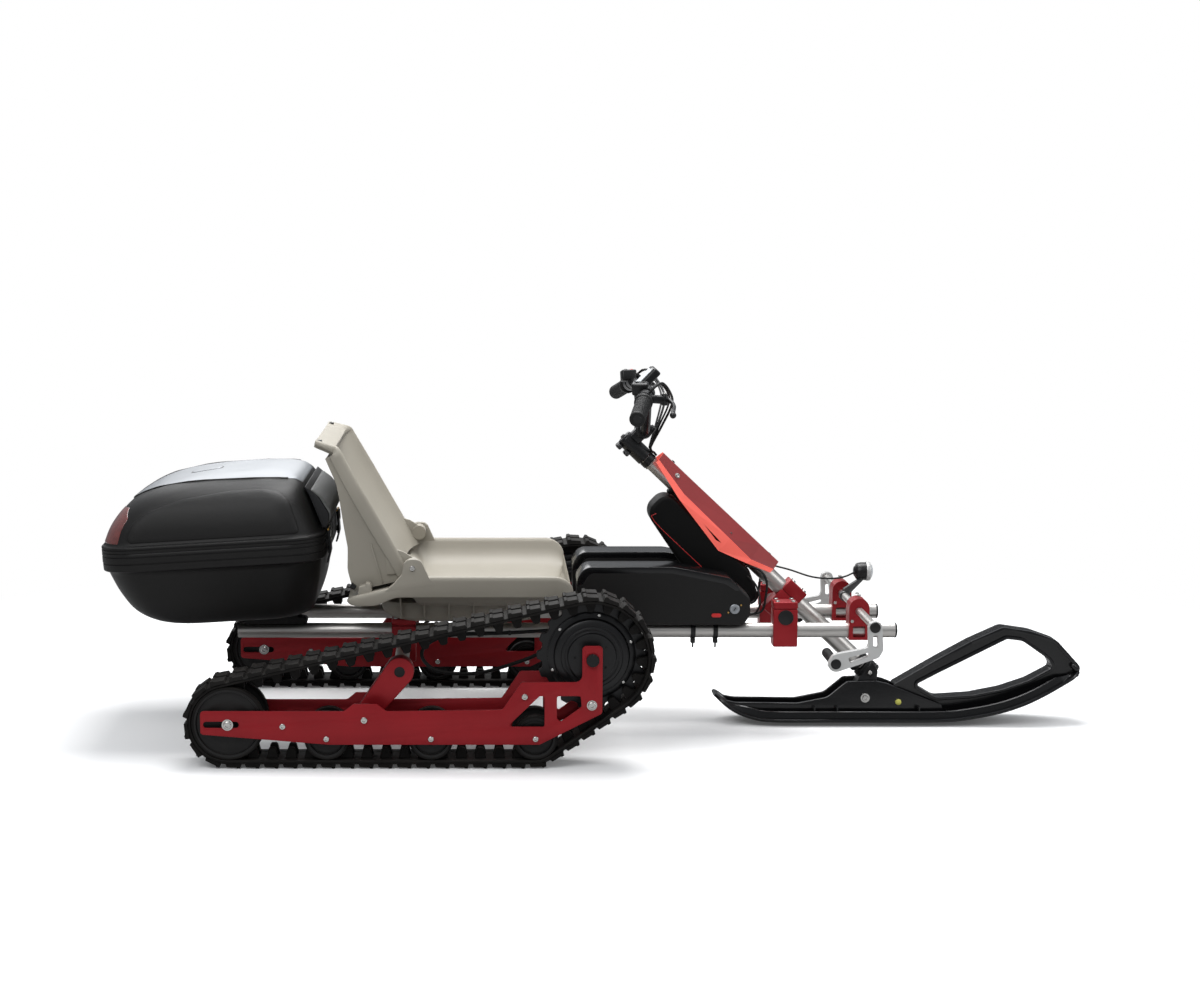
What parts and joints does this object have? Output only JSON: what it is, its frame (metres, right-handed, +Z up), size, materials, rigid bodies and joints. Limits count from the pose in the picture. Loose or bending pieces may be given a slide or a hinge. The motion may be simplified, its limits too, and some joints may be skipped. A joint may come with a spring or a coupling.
{
  "type": "electric snow go-kart",
  "caption": "Low single-seat electric snow kart with rubber track units at the rear, a steered front ski, folding seat back, footrests and a lidded top case.",
  "frame": {"origin": "middle of the whole length and width, on the floor under the belts and the ski", "axes": "+X ahead towards the ski's tip, +Y to the rider's left, +Z up"},
  "size_m": [2.1206, 0.9126, 0.7844],
  "materials": {
    "red_anodised": "dark red anodised aluminium, satin",
    "red_paint": "red painted sheet",
    "black_rubber": "black rubber, matt",
    "black_plastic": "black moulded plastic",
    "black_metal": "black painted metal",
    "aluminium": "bare aluminium tube, satin",
    "cast_white": "white painted casting",
    "seat_plastic": "warm grey moulded plastic"
  },
  "bodies": {
    "chassis": {"axle_tube": "aluminium", "case_rack": "black_plastic", "case_tub": "black_plastic", "column_battery": "black_plastic", "drive_wheel_left": "black_metal", "drive_wheel_right": "black_metal", "fairing": "red_paint", "foot_peg_left": "black_rubber", "foot_peg_right": "black_rubber", "footrest_arm_left": "cast_white", "footrest_arm_right": "cast_white", "footrest_bar": "aluminium", "footrest_clamp_left": "red_anodised", "footrest_clamp_right": "red_anodised", "frame_tube_left": "aluminium", "frame_tube_right": "aluminium", "front_clamp_left": "red_anodised", "front_clamp_right": "red_anodised", "front_cross_tube": "aluminium", "head_clamp": "red_anodised", "head_tube": "aluminium", "headlamp": "black_plastic", "inner_plate_left": "red_anodised", "inner_plate_right": "red_anodised", "lamp_lead": "black_rubber", "motor_lead_left": "black_rubber", "motor_lead_right": "black_rubber", "outer_plate_left": "red_anodised", "outer_plate_right": "red_anodised", "rear_clamp_left": "red_anodised", "rear_clamp_right": "red_anodised", "rear_idler_left": "black_plastic", "rear_idler_right": "black_plastic", "road_wheel_left_1": "black_plastic", "road_wheel_left_2": "black_plastic", "road_wheel_left_3": "black_plastic", "road_wheel_right_1": "black_plastic", "road_wheel_right_2": "black_plastic", "road_wheel_right_3": "black_plastic", "seat_pan": "seat_plastic", "side_battery_left": "black_plastic", "side_battery_right": "black_plastic", "swing_arm_left": "red_anodised", "swing_arm_right": "red_anodised", "track_belt_left": "black_rubber", "track_belt_right": "black_rubber"},
    "steering": {"steerer": "aluminium", "stem": "black_metal", "handlebar": "black_metal", "grip_left": "black_rubber", "grip_right": "black_rubber", "lever_left": "black_metal", "lever_right": "black_metal", "display": "black_plastic", "ski_bracket": "black_metal", "control_cables": "black_rubber"},
    "ski": {"ski": "black_plastic"},
    "seat_back": {"seat_back": "seat_plastic"},
    "case_lid": {"case_lid": "black_plastic", "lid_backrest": "black_rubber"}
  },
  "joints": [
    {"name": "steering", "type": "hinge", "parent": "chassis", "child": "steering", "pos_m": [0.41683, 0, 0.28157], "axis": [-0.7242, 0, 0.6896], "range_deg": [-35, 35]},
    {"name": "ski_pitch", "type": "hinge", "parent": "steering", "child": "ski", "pos_m": [0.584, 0, 0.0575], "axis": [0, 1, 0], "range_deg": [-20, 12]},
    {"name": "seat_fold", "type": "hinge", "parent": "chassis", "child": "seat_back", "pos_m": [-0.404, 0, 0.386], "axis": [0, 1, 0], "range_deg": [0, 105]},
    {"name": "lid_open", "type": "hinge", "parent": "chassis", "child": "case_lid", "pos_m": [-1.06343, 0, 0.41095], "axis": [0, -1, 0], "range_deg": [0, 75]}
  ]
}
